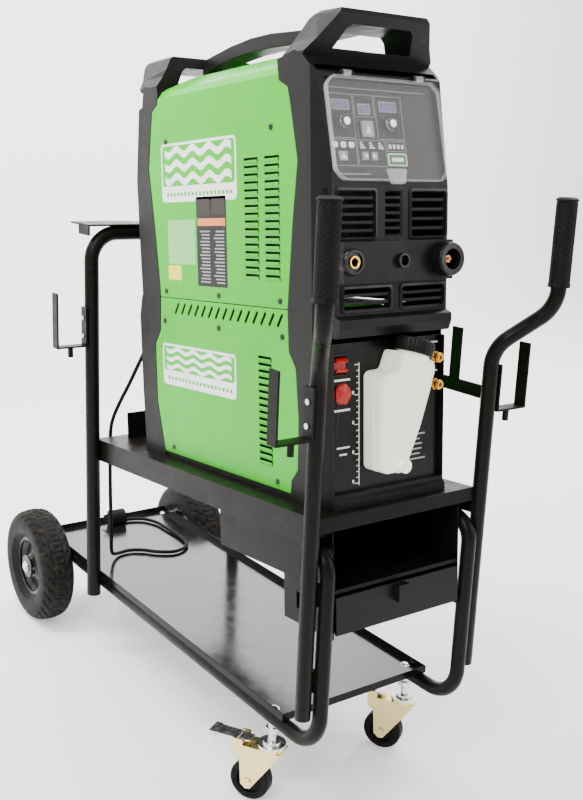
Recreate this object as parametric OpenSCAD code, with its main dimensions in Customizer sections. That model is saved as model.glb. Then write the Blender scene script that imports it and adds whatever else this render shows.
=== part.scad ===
// Inverter welding power source with a liquid cooler, standing on a two-deck trolley.
// +X is the operator's right, the control face looks along -Y, +Z is up and Z = 0 is the floor.

/* [Trolley] */
// Width of the lower tray
tray_w = 352; // [340:1:352]
// Underside height of the lower tray
tray_z = 195; // [195:1:195]
// Height of the raised edge around the lower tray
lip_h = 15; // [10:1:20]
// Outside diameter of the side loops and front posts
tube_d = 28; // [26:1:28]
// Outside diameter of the rear hoop
hoop_d = 32; // [28:1:32]
// Wall thickness of every tube
wall = 2; // [1.5:0.5:3]
// Height of the handle ends above the floor
handle_z = 1143; // [1130:1:1160]
// Angle of the upper shelf, front edge raised
tilt = 5.1; // [5.1:0.1:5.1]

/* [Wheels] */
// Outer radius of the rear tyres
wheel_r = 142; // [138:1:142]
// Width of the rear tyres
wheel_w = 84; // [80:1:84]
// Radius of the caster wheels
caster_r = 40; // [38:1:40]
// Distance from a swivel axis to its caster wheel axis
caster_trail = 40; // [38:1:42]
// Direction of the resting casters about the vertical
caster_turn = 30; // [0:5:60]

/* [Power source] */
// Half width of the sheet covers
half_w = 138; // [136:1:138]
// Sheet thickness of the covers
sheet = 2; // [1.5:0.5:2]
// Rows of louvres in each column
louvres = 16; // [8:1:16]
// Outer radius of the panel knobs
knob_r = 11; // [9:1:12]

/* [Cooler] */
// Radius of the filler cap
cap_r = 34; // [30:1:34]
// Depth of the filler tank in front of its panel
tank_d = 60; // [58:1:62]

/* [Drawer] */
// Depth of the drawer from front to back
drawer_l = 140; // [110:1:140]

/* [Hidden] */
$fn = 48;
tr = tube_d / 2;
hr = hoop_d / 2;
rail_x = 165.3;
rail_z = tray_z - tr + 0.2;
loop_y = -445;
post_x = 195;
post_y = -434;
hoop_y = 402;
hoop_top = 1007;
tray_front = -350;
tray_rear = 733;
wheel_x = 222;
wheel_y = 668;
caster_y = -305;
// direction in which each handle leaves its post
splay = 54.4;
handle_out = 60.4;
handle_fwd = 84.5;
y_mid = (wheel_y + wheel_r + post_y - handle_fwd - 20) / 2;
panel_tilt = 10.6;
seam_h = 909;
base_h = 583;
shelf_h = 572.5;
black = [0.09, 0.09, 0.09];
plastic = [0.13, 0.13, 0.13];
green = [0.35, 0.75, 0.22];
zinc = [0.8, 0.78, 0.68];
rubber = [0.12, 0.12, 0.12];
brass = [0.8, 0.62, 0.25];

// ---- placing ----
// shifts the whole object so that the origin is under the middle of its bounding box
module placed() {
    translate([0, -y_mid, 0]) children();
}

// the tilted frame shared by the shelf, the storage box and both machines
module tilted() {
    translate([0, -y_mid, 500]) rotate([-tilt, 0, 0]) translate([0, 0, -500]) children();
}

// the inclined control face: local z runs up the face, local -y points out of it
module on_face() {
    tilted() translate([0, -417, 1120]) rotate([-panel_tilt, 0, 0]) children();
}

// copies a child to both sides of the middle plane
module both() {
    children();
    mirror([1, 0, 0]) children();
}

// extrudes a side profile drawn in (y, z) across x from x0 to x1
module side_profile(points, x0, x1) {
    translate([x0, 0, 0]) rotate([90, 0, 90]) linear_extrude(x1 - x0) polygon(points);
}

module block(x0, x1, y0, y1, z0, z1) {
    translate([x0, y0, z0]) cube([x1 - x0, y1 - y0, z1 - z0]);
}

// straight round bar standing on z = 0
module bar(r, l) {
    cylinder(r = r, h = l);
}

// bend in the YZ plane, starting upward at the origin and turning towards +y
module bend(r, big, angle) {
    translate([0, big, 0]) rotate([90, 0, -90]) rotate_extrude(angle = angle) translate([big, 0]) circle(r = r);
}

// ---- trolley ----
module lower_tray() {
    color(black) placed() difference() {
        block(-tray_w / 2, tray_w / 2, tray_front, tray_rear, tray_z, tray_z + lip_h);
        block(-tray_w / 2 + 2, tray_w / 2 - 2, tray_front + 2, tray_rear - 2, tray_z + 2, tray_z + lip_h + 1);
    }
}

// centreline of one side loop: rail, front bend, upright, top bend and short upper run
module loop_path(r) {
    translate([0, loop_y, rail_z + 70]) bar(r, 551 - rail_z - 110);
    translate([0, loop_y + 70, rail_z]) rotate([-90, 0, 0]) bar(r, tray_rear - 8 - loop_y - 70);
    translate([0, loop_y, rail_z + 70]) mirror([0, 0, 1]) bend(r, 70, 90);
    translate([0, loop_y, 511]) bend(r, 40, 90);
    translate([0, loop_y + 40, 551]) rotate([-90, 0, 0]) bar(r, 20);
}

module side_loop(side) {
    color(black) placed() translate([side * rail_x, 0, 0]) difference() {
        loop_path(tr);
        loop_path(tr - wall);
    }
}

module side_loop_left() {
    side_loop(-1);
}

module side_loop_right() {
    side_loop(1);
}

// one S bend in the plane that leaves the post outward and forward
module post_path(r) {
    translate([0, 0, 251]) bar(r, 587);
    translate([0, 0, 838]) bend(r, 70, 51.5);
    translate([0, 70 * (1 - cos(51.5)), 838 + 70 * sin(51.5)]) rotate([-51.5, 0, 0])
        translate([0, 0, -3]) bar(r - 0.1, 71.3);
    translate([0, handle_reach(), handle_foot()]) {
        mirror([0, 1, 0]) mirror([0, 0, 1]) bend(r, 70, 51.5);
        bar(r, handle_z - handle_foot() - 3);
    }
}

function handle_reach() = 140 * (1 - cos(51.5)) + 65.3 * sin(51.5);
function handle_foot() = 838 + 140 * sin(51.5) + 65.3 * cos(51.5);

// post with its handle and the two weld tabs that join it to the side loop
module front_post(side) {
    color(black) placed() {
        translate([side * post_x, post_y, 0]) rotate([0, 0, side > 0 ? -144.4 : 144.4]) difference() {
            post_path(tr);
            post_path(tr - wall);
        }
        translate([side * (post_x - tr - 3), post_y - 4, 300]) translate([-4, -5, 0]) cube([8, 10, 40]);
        translate([side * (post_x - tr - 3), post_y - 4, 460]) translate([-4, -5, 0]) cube([8, 10, 40]);
    }
}

module front_post_left() {
    front_post(-1);
}

module front_post_right() {
    front_post(1);
}

// ribbed rubber sleeve with a collar below and a closed end above
module handle_grips() {
    reach = handle_reach();
    color(rubber) placed() both() translate([post_x, post_y, 0]) rotate([0, 0, -144.4])
        translate([0, reach, handle_foot() + 2]) difference() {
            union() {
                bar(19.5, 5);
                translate([0, 0, 5]) bar(17, handle_z - handle_foot() - 12);
                translate([0, 0, handle_z - handle_foot() - 7]) bar(20, 4);
                translate([0, 0, handle_z - handle_foot() - 3]) bar(14, 3);
            }
            translate([0, 0, -1]) bar(tr, handle_z - handle_foot() - 4);
        }
}

module hoop_path(r) {
    run = 2 * (post_x - 60);
    both() {
        translate([post_x, hoop_y, 157]) bar(r, hoop_top - 60 - 157);
        translate([post_x, hoop_y, hoop_top - 60]) rotate([0, 0, 90]) bend(r, 60, 90);
    }
    translate([-run / 2, hoop_y, hoop_top]) rotate([0, 90, 0]) bar(r, run);
}

module rear_hoop() {
    color(black) placed() difference() {
        hoop_path(hr);
        hoop_path(hr - wall);
    }
}

// flat rest on the hoop with a round notch for a gas cylinder behind the machine
module cylinder_rest() {
    color(black) placed() difference() {
        union() {
            block(-208, 208, 388, 482, hoop_top + hr, hoop_top + hr + 4);
            block(-208, -204, 388, 440, hoop_top - 4, hoop_top + hr);
            block(204, 208, 388, 440, hoop_top - 4, hoop_top + hr);
        }
        translate([0, 562, hoop_top]) bar(118, 60);
        translate([-180, 440, hoop_top]) bar(6, 60);
        translate([180, 440, hoop_top]) bar(6, 60);
    }
}

// tilted pan: floor, two deep side rails, front and rear beams and a rear stop
module upper_shelf() {
    color(black) tilted() {
        block(-181.2, 181.2, -440, 412, shelf_h - 3, shelf_h);
        block(-181.2, -177.5, -440, 412, 523, shelf_h - 3);
        block(177.5, 181.2, -440, 412, 523, shelf_h - 3);
        block(-177.5, 177.5, -440, -437, 547, shelf_h - 3);
        block(-177.5, 177.5, 409, 412, 523, shelf_h - 3);
        block(-120, 120, 366, 369, shelf_h, 632);
    }
}

// open-fronted box below the shelf with the two drawer side plates hanging from it
module storage_box() {
    color(black) tilted() {
        difference() {
            block(-147, 147, -436, -75, 434, shelf_h - 3);
            block(-145, 145, -437, -77, 436, shelf_h - 5);
        }
        both() difference() {
            block(145, 147, -436, -291, 352, 434);
            block(144, 148, -380, -330, 380, 410);
        }
        block(-145, 145, -436, -434, 436, 441);
        both() block(139, 146, -430, -295, 361, 363.7);
        both() block(146, 153, -412, -392, 508, 524);
    }
}

// open tray with a raised finger pull
module drawer() {
    color(plastic) tilted() {
        difference() {
            block(-143, 143, -436 + 0.5, -436 + drawer_l, 364, 426);
            block(-141, 141, -433, -438 + drawer_l, 366, 427);
        }
        block(-143, 143, -440, -435.5, 360, 428);
        difference() {
            block(-13, 13, -454, -440, 396, 426);
            block(-10, 10, -450, -440.001, 395, 422);
        }
    }
}

// bent flat strip: bolted plate, foot, upright blade and a peg under the foot
module hook(reach) {
    block(0, 4, -12.5, 12.5, -4, 84);
    block(4, reach, -12.5, 12.5, -4, 0);
    block(reach - 4, reach, -12.5, 12.5, 0, 118);
    translate([36, 0, -26]) bar(6, 22);
}

module accessory_hooks() {
    color(black) placed() {
        translate([-post_x - tr, post_y, 758]) mirror([1, 0, 0]) hook(74);
        translate([post_x + tr, post_y, 758]) hook(74);
        translate([-post_x - hr, hoop_y, 762]) mirror([1, 0, 0]) hook(72);
        block(post_x + tr - 4, post_x + tr, post_y + 6, -306, 771, 796);
        block(post_x + tr - 4, post_x + tr, -345, -320, 796, 893);
    }
}

// screw heads on the hook plates, all alike
module hook_screws() {
    color(zinc) placed() {
        both() for (z = [778, 818]) {
            translate([post_x + tr + 4, post_y, z]) rotate([0, 90, 0]) bar(5, 3.5);
        }
        for (z = [782, 822]) {
            translate([-post_x - hr - 4, hoop_y, z]) rotate([0, -90, 0]) bar(5, 3.5);
        }
    }
}

// domed bolt heads in the four corners of the tray
module tray_bolts() {
    color(zinc) placed() both() for (y = [caster_y, 715]) {
        translate([rail_x - 3, y, tray_z + 2]) rotate_extrude() intersection() {
            translate([0, -9]) circle(r = 13.5);
            square([10, 6]);
        }
    }
}

// plain steel axle with a nut and washer on each end
module rear_axle() {
    color(zinc) placed() translate([0, wheel_y, wheel_r]) {
        translate([-258, 0, 0]) rotate([0, 90, 0]) bar(8, 516);
        both() translate([257.5, 0, 0]) rotate([0, 90, 0]) bar(14, 2.5);
        both() translate([184, 0, 0]) rotate([0, 90, 0]) bar(14, 2.5);
        both() translate([260, 0, 0]) rotate([0, 90, 0]) linear_extrude(4) circle(r = 11, $fn = 6);
    }
}

module axle_brackets() {
    color(black) placed() both() difference() {
        block(rail_x - 3, rail_x + 3, wheel_y - 26, wheel_y + 26, wheel_r - 20, rail_z);
        translate([0, wheel_y, wheel_r]) rotate([0, 90, 0]) bar(8, 300);
    }
}

module tyre(side) {
    color(rubber) placed() translate([side * wheel_x, wheel_y, wheel_r]) rotate([0, 90, 0]) difference() {
        rotate_extrude($fn = 72) {
            translate([wheel_r - 35, wheel_w / 2 - 35]) circle(r = 35);
            translate([wheel_r - 35, 35 - wheel_w / 2]) circle(r = 35);
            translate([wheel_r - 70, 35 - wheel_w / 2]) square([70, wheel_w - 70]);
        }
        translate([0, 0, -60]) bar(75, 120);
    }
}

module tyre_left() {
    tyre(-1);
}

module tyre_right() {
    tyre(1);
}

// pressed rim with a dished web and a bored hub
module rim(side) {
    color(black) placed() translate([side * wheel_x, wheel_y, wheel_r]) rotate([0, side * 90, 0])
        rotate_extrude($fn = 72) {
            translate([8.06, -35]) square([14, 70]);
            translate([20, -4]) square([52, 4]);
            translate([70, -28]) square([5, 56]);
            translate([66, 24]) square([6, 4]);
            translate([66, -28]) square([6, 4]);
            translate([22, -35]) square([7, 3]);
            translate([22, 32]) square([7, 3]);
        }
}

module rim_left() {
    rim(-1);
}

module rim_right() {
    rim(1);
}

// ---- casters ----
module caster_at(side) {
    placed() translate([side * (rail_x - 0.3), caster_y, 0]) rotate([0, 0, caster_turn]) children();
}

// upper race, nut and threaded stem below each rail
module caster_stems() {
    color(zinc) for (side = [-1, 1]) caster_at(side) {
        translate([0, 0, 121.4]) bar(27, 5);
        translate([0, 0, 126.4]) bar(17, 5);
        translate([0, 0, 131.4]) bar(8, 40);
        translate([0, 0, 150]) linear_extrude(10) circle(r = 14, $fn = 6);
    }
}

// pressed fork: top plate, two slanted legs, lower race, pedal ears and the wheel bolt
module caster_fork(side) {
    color(zinc) caster_at(side) {
        translate([0, 0, 115]) bar(25, 6);
        block(-20, 20, -25, 72, 112, 115);
        both() side_profile([[-25, 112], [72, 112], [72, 94], [58, 86], [54, 34], [44, 26], [34, 28]], 17.5, 20);
        both() block(16.5, 20, 52, 72, 115, 126);
        translate([-23, caster_trail, caster_r]) rotate([0, 90, 0]) bar(5, 46);
        both() translate([20, caster_trail, caster_r]) rotate([0, 90, 0]) bar(9, 3);
        translate([-20, 62, 121]) rotate([0, 90, 0]) bar(2.5, 40);
    }
}

module caster_fork_left() {
    caster_fork(-1);
}

module caster_fork_right() {
    caster_fork(1);
}

module caster_wheel(side) {
    color(rubber) caster_at(side) translate([0, caster_trail, caster_r]) rotate([0, 90, 0])
        rotate_extrude() difference() {
            union() {
                translate([5.06, -16.5]) square([7, 33]);
                translate([10, -13]) square([caster_r - 14, 26]);
                translate([caster_r - 9, -14]) square([5, 28]);
                translate([caster_r - 5, -9]) square([5, 18]);
                translate([caster_r - 5, -9]) circle(r = 5);
                translate([caster_r - 5, 9]) circle(r = 5);
            }
            translate([16, 8]) square([10, 8]);
            translate([16, -16]) square([10, 8]);
        }
}

module caster_wheel_left() {
    caster_wheel(-1);
}

module caster_wheel_right() {
    caster_wheel(1);
}

// foot lever hinged on the fork, its tip turned down
module caster_brake(side) {
    color([0.45, 0.46, 0.47]) caster_at(side) difference() {
        union() {
            translate([-16, 62, 121]) rotate([0, 90, 0]) bar(5, 32);
            block(-16, 16, 62, 116, 121, 124);
            translate([-18, 112, 121]) block(0, 36, 0, 14, -8, 4);
            block(-13, 13, 40, 62, 121.5, 124);
        }
        translate([-30, 62, 121]) rotate([0, 90, 0]) bar(2.56, 60);
    }
}

module caster_brake_left() {
    caster_brake(-1);
}

module caster_brake_right() {
    caster_brake(1);
}

// ---- power source ----
// outline of the visible cover seen from the side
function upper_outline() = [[-301, 910.5], [-319, 1060], [-335, 1160], [-315, 1258], [-309, 1280],
    [-284, 1293], [-280, 1327], [-280, 1400], [138, 1400], [138, 1314], [144, 1294], [166, 1282],
    [173, 1247], [187, 1168], [170, 1057], [155, 934], [154, 910.5]];
// roof section seen from the front
function roof_section(t) = [[-half_w + t, 900], [-half_w + t, 1304], [-half_w + 9, 1317 - t], [-118, 1324 - t],
    [-62, 1348 - t], [-40, 1355 - t], [40, 1355 - t], [62, 1348 - t], [118, 1324 - t], [half_w - 9, 1317 - t],
    [half_w - t, 1304], [half_w - t, 900]];

module roof_body(t) {
    translate([0, 300, 0]) rotate([90, 0, 0]) linear_extrude(700) polygon(roof_section(t));
}

module welder_cover() {
    color(green) tilted() difference() {
        intersection() {
            side_profile(upper_outline(), -half_w, half_w);
            roof_body(0);
        }
        translate([0, 0, -20]) roof_body(sheet);
        translate([0, 0, 0]) roof_body(sheet);
        for (i = [0 : louvres - 1]) {
            block(-200, 200, -215, -170, 1163.5 - i * 13.6, 1171.5 - i * 13.6);
            block(-200, 200, -280, -235, 1163.5 - i * 13.6, 1171.5 - i * 13.6);
        }
    }
}

// plan outline of the front mouldings: sides taper to the narrower front face
function front_plan() = [[-139, -200], [139, -200], [139, -372], [126, -412], [126, -460], [-126, -460],
    [-126, -412], [-139, -372]];
function bezel_side() = [[-301, 909], [-319, 1060], [-335, 1160], [-315, 1258], [-309, 1280], [-284, 1293],
    [-280, 1327], [-330, 1336], [-352, 1326], [-384, 1297], [-417, 1120], [-417, 904], [-431, 898],
    [-431, 884], [-424, 868], [-404, 868], [-404, 909]];

module front_body() {
    intersection() {
        side_profile(bezel_side(), -139, 139);
        translate([0, 0, 800]) linear_extrude(700) polygon(front_plan());
    }
}

// forward-leaning arch above the front face, with its grip opening
module front_arch() {
    intersection() {
        side_profile([[-296, 1326], [-352, 1326], [-398, 1388], [-396, 1396], [-330, 1402], [-312, 1390]], -139, 139);
        translate([0, 500, 0]) rotate([90, 0, 0]) linear_extrude(1000) difference() {
            polygon([[-139, 1300], [-139, 1332], [-122, 1352], [-92, 1396], [-80, 1405], [80, 1405], [92, 1396],
                [122, 1352], [139, 1332], [139, 1300]]);
            polygon([[-84, 1338], [-72, 1366], [-62, 1374], [62, 1374], [72, 1366], [84, 1338]]);
        }
    }
}

module front_bezel() {
    color(plastic) tilted() {
        difference() {
            front_body();
            // hollow inside
            block(-132, 132, -404, -270, 900, 1112);
            block(-132, 132, -380, -270, 1112, 1310);
            // recess for the control panel
            translate([0, -417, 1120]) rotate([-panel_tilt, 0, 0]) {
                block(-121, 121, -4, 12, 8, 172);
                block(-115, 48, 11, 45, 28, 150);
            }
            // openings behind the grilles
            block(-122, -38, -430, -390, 1030, 1110);
            block(38, 122, -430, -390, 1030, 1110);
            block(-20, 20, -430, -390, 1034, 1110);
            block(-110, -4, -430, -390, 911, 950);
            block(18, 120, -430, -390, 911, 950);
        }
        front_arch();
        // hinge lugs and pins of the clear lid
        translate([0, -417, 1120]) rotate([-panel_tilt, 0, 0]) both() {
            block(66, 71, -8.8, 4, 175.2, 182.8);
            block(87, 92, -8.8, 4, 175.2, 182.8);
            translate([66, -6, 179]) rotate([0, 90, 0]) bar(2, 26);
        }
    }
}

// rear moulding with its own low arch
module rear_bezel() {
    color(plastic) tilted() {
        difference() {
            side_profile([[154, 909], [155, 934], [170, 1057], [187, 1168], [173, 1247], [166, 1282], [144, 1294],
                [138, 1314], [140, 1326], [196, 1334], [206, 1294], [220, 1291], [240, 1150], [236, 1005],
                [232, 909]], -139, 139);
            block(-132, 132, 100, 226, 900, 1270);
            for (i = [0 : 7]) {
                block(-100, 100, 220, 260, 960 + i * 26, 974 + i * 26);
            }
        }
        // post and boss that carry the fan
        difference() {
            union() {
                block(-12, 12, 222, 230, 950, 1165);
                translate([0, 226, 1060]) rotate([90, 0, 0]) bar(14, 14);
            }
            translate([0, 224, 1060]) rotate([90, 0, 0]) bar(6.06, 20);
        }
        intersection() {
            side_profile([[140, 1324], [146, 1364], [154, 1392], [188, 1394], [252, 1392], [256, 1380], [206, 1322]],
                -139, 139);
            translate([0, 500, 0]) rotate([90, 0, 0]) linear_extrude(1000) difference() {
                polygon([[-139, 1300], [-139, 1330], [-122, 1350], [-98, 1388], [-84, 1396], [84, 1396], [98, 1388],
                    [122, 1350], [139, 1330], [139, 1300]]);
                polygon([[-88, 1338], [-76, 1362], [-66, 1370], [66, 1370], [76, 1362], [88, 1338]]);
            }
        }
    }
}

// long arched grip between the two end arches
module carry_handle() {
    color(plastic) tilted() difference() {
        side_profile([[153, 1356], [153, 1387], [110, 1393], [43, 1402], [-28, 1407], [-96, 1406], [-160, 1400],
            [-311, 1388], [-300, 1376], [-160, 1376], [-88, 1380], [-10, 1380], [62, 1375], [120, 1367]], -24, 24);
        block(-16, 16, -60, 20, 1404, 1410);
    }
}

module control_panel() {
    color(plastic) on_face() difference() {
        block(-121, 121, 8, 12, 8, 172);
        translate([-87, 7, 101]) rotate([-90, 0, 0]) bar(3.06, 6);
        translate([12, 7, 101]) rotate([-90, 0, 0]) bar(3.06, 6);
        block(-50, -26, 7, 13, 78, 105);
        block(-104, -86, 7, 13, 38, 54);
        block(-54, -42, 7, 13, 40, 54);
        block(-34, -22, 7, 13, 40, 54);
    }
}

module panel_knob(x) {
    color(black) on_face() translate([x, 0, 101]) rotate([-90, 0, 0]) {
        translate([0, 0, -4]) difference() {
            bar(knob_r, 11.6);
            translate([-1, 4, -1]) cube([2, knob_r, 2]);
        }
        bar(3, 16);
        translate([0, 0, 12.4]) bar(6, 3);
    }
}

module current_knob() {
    panel_knob(-87);
}

module pulse_knob() {
    panel_knob(12);
}

module select_button() {
    color([0.55, 0.55, 0.52]) on_face() {
        block(-49.7, -26.3, 3, 16, 78.3, 104.7);
        block(-52, -24, 14, 16, 76, 107);
    }
}

module small_button(x0, x1, z0, z1) {
    color([0.55, 0.55, 0.52]) on_face() {
        block(x0 + 0.3, x1 - 0.3, 5, 16, z0 + 0.3, z1 - 0.3);
        block(x0 - 1.5, x1 + 1.5, 14, 16, z0 - 1.5, z1 + 1.5);
    }
}

module up_button() {
    small_button(-104, -86, 38, 54);
}

module left_button() {
    small_button(-54, -42, 40, 54);
}

module right_button() {
    small_button(-34, -22, 40, 54);
}

// shallow clear cover with a pull tab and two hinge knuckles
module clear_lid() {
    color([0.85, 0.88, 0.88, 0.35]) on_face() difference() {
        union() {
            difference() {
                block(-125, 125, -10, -0.5, 4, 174);
                block(-122.5, 122.5, -7.5, 0, 6.5, 171.5);
            }
            both() translate([71.4, -6, 179]) rotate([0, 90, 0]) bar(5, 15.2);
            both() block(71.4, 86.6, -10, -4, 173, 179);
            block(-22, 22, -15, -10, -4, 22);
        }
        translate([-120, -6, 179]) rotate([0, 90, 0]) bar(2.06, 240);
    }
}

// slotted inserts of the front face
module grille(x0, x1, z0, z1, bars) {
    pitch = (z1 - z0) / bars;
    difference() {
        block(x0, x1, -416, -406, z0, z1);
        for (i = [0 : bars - 1]) {
            block(x0 + 4, x1 - 4, -417, -405, z0 + i * pitch + 2.5, z0 + (i + 1) * pitch - 2.5);
        }
    }
}

module front_grilles() {
    color(black) tilted() {
        grille(-122, -38, 1030, 1110, 6);
        grille(38, 122, 1030, 1110, 5);
        grille(-20, 20, 1034, 1110, 6);
        grille(-110, -4, 911, 950, 3);
        grille(18, 120, 911, 950, 3);
    }
}

module connector_block() {
    color(plastic) tilted() difference() {
        union() {
            block(-122, 122, -436, -417, 958, 1026);
            translate([-103, -436, 993]) rotate([90, 0, 0]) bar(23, 3);
        }
        translate([-103, -410, 993]) rotate([90, 0, 0]) bar(16.1, 40);
        translate([3, -410, 993]) rotate([90, 0, 0]) bar(12.1, 40);
        translate([98, -410, 993]) rotate([90, 0, 0]) bar(24.1, 40);
    }
}

// twist-lock current socket: brass bush in an insulating ring
module output_socket() {
    color(brass) tilted() translate([-103, -417.2, 993]) rotate([90, 0, 0]) difference() {
        union() {
            bar(16, 20);
            translate([0, 0, 18]) bar(12, 5);
        }
        translate([0, 0, 6]) bar(7, 30);
    }
}

module remote_socket() {
    color(black) tilted() translate([3, -417.2, 993]) rotate([90, 0, 0]) difference() {
        bar(12, 27);
        translate([0, 0, 18]) bar(9, 10);
    }
}

// large round torch connector with a copper centre pin
module torch_connector() {
    color(black) tilted() translate([98, -417.2, 993]) rotate([90, 0, 0]) {
        difference() {
            union() {
                bar(24, 24);
                translate([0, 0, 18.9]) bar(30, 12);
                translate([0, 0, 30]) bar(27, 14);
            }
            translate([0, 0, 12]) bar(18, 40);
        }
        translate([0, 0, 12]) bar(6, 20);
    }
}

// identical cover screws on both sides of both covers
module cover_screws() {
    color(black) tilted() both() for (p = [[112, 1219], [-258, 1219], [128, 923], [-76, 923], [-279, 923],
            [138, 861], [-73, 861], [-284, 861], [117, 597], [-263, 597]]) {
        translate([half_w, p[0], p[1]]) rotate([0, 90, 0]) bar(5, 2);
    }
}

// ---- cooler ----
function lower_outline() = [[-304, base_h], [-307, 608], [-326, 630], [-330, 720], [-323, 810], [-303, 836],
    [-301, seam_h], [154, seam_h], [159, 840], [183, 810], [183, 688], [162, 608], [155, base_h]];

module cooler_cover() {
    color(green) tilted() difference() {
        side_profile(lower_outline(), -half_w, half_w);
        block(-half_w + sheet, half_w - sheet, -400, 300, 500, seam_h - sheet);
        for (i = [0 : louvres - 1]) {
            block(-200, 200, -248, -206, 813.5 - i * 12.6, 821.5 - i * 12.6);
        }
        for (i = [0 : 14]) {
            translate([0, -276 + i * 26, 889]) rotate([35, 0, 0]) block(-200, 200, -3, 3, -14, 14);
        }
    }
}

// front and rear end frames joined by the base plate
module cooler_frame() {
    color(plastic) tilted() {
        intersection() {
            difference() {
                side_profile([[-304, 572.6], [-304, base_h], [-307, 608], [-326, 630], [-330, 720], [-323, 810],
                    [-303, 836], [-301, seam_h], [-403, seam_h], [-403, 857], [-414, 857], [-414, 592], [-420, 586],
                    [-420, 572.6]], -139, 139);
                block(-125, 125, -430, -290, 598, seam_h + 1);
            }
            translate([0, 0, 500]) linear_extrude(700) polygon(front_plan());
        }
        difference() {
            side_profile([[155, 572.6], [155, base_h], [162, 608], [183, 688], [183, 810], [159, 840], [154, seam_h],
                [236, seam_h], [248, 866], [246, 702], [240, base_h], [240, 572.6]], -139, 139);
            block(-125, 125, 150, 225, 598, seam_h + 1);
            block(-60, 110, 220, 260, 640, 860);
        }
        block(-136, 136, -304, 155, 572.6, 582);
    }
}

module cooler_panel() {
    color(black) tilted() difference() {
        block(-125, 125, -402, -396, 598, 857);
        block(-119, -91, -403, -395, 805, 835);
        translate([-100, -395, 771]) rotate([90, 0, 0]) bar(18.1, 8);
        translate([108, -395, 818]) rotate([90, 0, 0]) bar(7.1, 8);
        translate([108, -395, 769]) rotate([90, 0, 0]) bar(7.1, 8);
    }
}

// translucent filler tank with a slanted neck and a drain spout
module neck_at() {
    tilted() translate([26, -440, 831]) rotate([0, 18, 0]) children();
}

function tank_outline(t) = [[-55 + t, 640], [-55 + t, 801 - t], [-48, 807 - t], [-22 + t, 808 - t],
    [-14 + t, 828 - t], [-8 + t, 842 - t], [58 - t, 820.5 - t], [62 - t, 806], [48 - t, 763],
    [29 - t, 711], [-4 - t, 640], [-10, 634 + t], [-48, 634 + t]];

module coolant_tank() {
    color([0.93, 0.92, 0.84]) {
        difference() {
            union() {
                tilted() translate([0, -402, 0]) rotate([90, 0, 0]) linear_extrude(tank_d)
                    polygon(tank_outline(0));
                neck_at() translate([0, 0, -8]) bar(24, 23);
                tilted() translate([-22, -402 - tank_d + 3, 648]) rotate([90, 0, 0]) bar(12, 24);
            }
            tilted() translate([0, -405, 0]) rotate([90, 0, 0]) linear_extrude(tank_d - 6)
                polygon(tank_outline(3));
            neck_at() translate([0, 0, -12]) bar(20, 40);
            tilted() translate([-22, -402 - tank_d - 4, 648]) rotate([90, 0, 0]) bar(8, 22);
        }
    }
}

// hollow screw cap that sits over the neck
module tank_cap() {
    color(black) neck_at() difference() {
        translate([0, 0, 3]) bar(cap_r, 25);
        translate([0, 0, 2]) bar(24.08, 15);
    }
}

// rocking key of the cooler switch, hinged across its middle
module rocker_switch() {
    color([0.75, 0.12, 0.1]) tilted() translate([-105, -401, 820]) {
        difference() {
            rotate([0, 90, 0]) translate([0, 0, -12.5]) bar(13, 25);
            block(-20, 20, -20, -3, -6, 6);
            block(-20, 20, 3, 20, -20, 20);
        }
    }
}

module flow_indicator() {
    color([0.75, 0.12, 0.1]) tilted() translate([-100, -396, 771]) rotate([90, 0, 0]) {
        bar(18, 8);
        translate([0, 0, 8]) bar(16, 4);
    }
}

// pair of brass quick couplings
module coolant_ports() {
    color(brass) tilted() for (h = [818, 769]) {
        translate([108, -390, h]) rotate([90, 0, 0]) difference() {
            union() {
                bar(7, 34);
                translate([0, 0, 12.1]) bar(10, 8);
                translate([0, 0, 26]) bar(9, 5);
            }
            translate([0, 0, 10]) bar(4, 40);
        }
    }
}

// ---- inside ----
// circuit board with heat sinks and the output transformer
module inverter_core() {
    color([0.3, 0.32, 0.3]) tilted() {
        block(-110, 110, -250, 120, 925, 929);
        for (i = [0 : 8]) {
            block(-100 + i * 12, -96 + i * 12, -230, 60, 929, 1010);
        }
        difference() {
            block(30, 100, -220, -110, 929, 1030);
            block(52, 78, -221, -109, 950, 1008);
        }
        translate([66, 0, 929]) bar(28, 60);
        translate([66, 75, 929]) bar(28, 60);
        both() block(110, 136, -250, 120, 925, 928);
    }
}

// five-blade fan in the rear moulding
module cooling_fan() {
    color(black) tilted() translate([0, 205, 1060]) rotate([90, 0, 0]) {
        bar(20, 24);
        for (i = [0 : 4]) {
            rotate([0, 0, i * 72]) translate([16, -14, 10]) rotate([28, 0, 0]) cube([62, 28, 2.5]);
        }
        translate([0, 0, -18.5]) bar(6, 19);
    }
}

module coolant_pump() {
    color([0.4, 0.42, 0.45]) tilted() {
        translate([60, -80, 622]) rotate([0, 90, 90]) bar(40, 110);
        block(30, 90, -70, 20, 582, 600);
        translate([60, -80, 622]) rotate([90, 0, 0]) bar(26, 30);
    }
}

module radiator() {
    color([0.5, 0.52, 0.54]) tilted() {
        block(-115, 115, 60, 66, 582, 860);
        block(-115, 115, 90, 96, 582, 860);
        for (i = [0 : 17]) {
            block(-113, 113, 66, 90, 594 + i * 15, 597 + i * 15);
        }
    }
}

// ---- supply cord ----
// moulded gland below the rear vents
module cord_gland() {
    color(rubber) tilted() translate([-95, 243, 800]) rotate([-100, 0, 0]) {
        bar(12, 12);
        translate([0, 0, 12]) cylinder(r1 = 9, r2 = 5.4, h = 36);
    }
}

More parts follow.
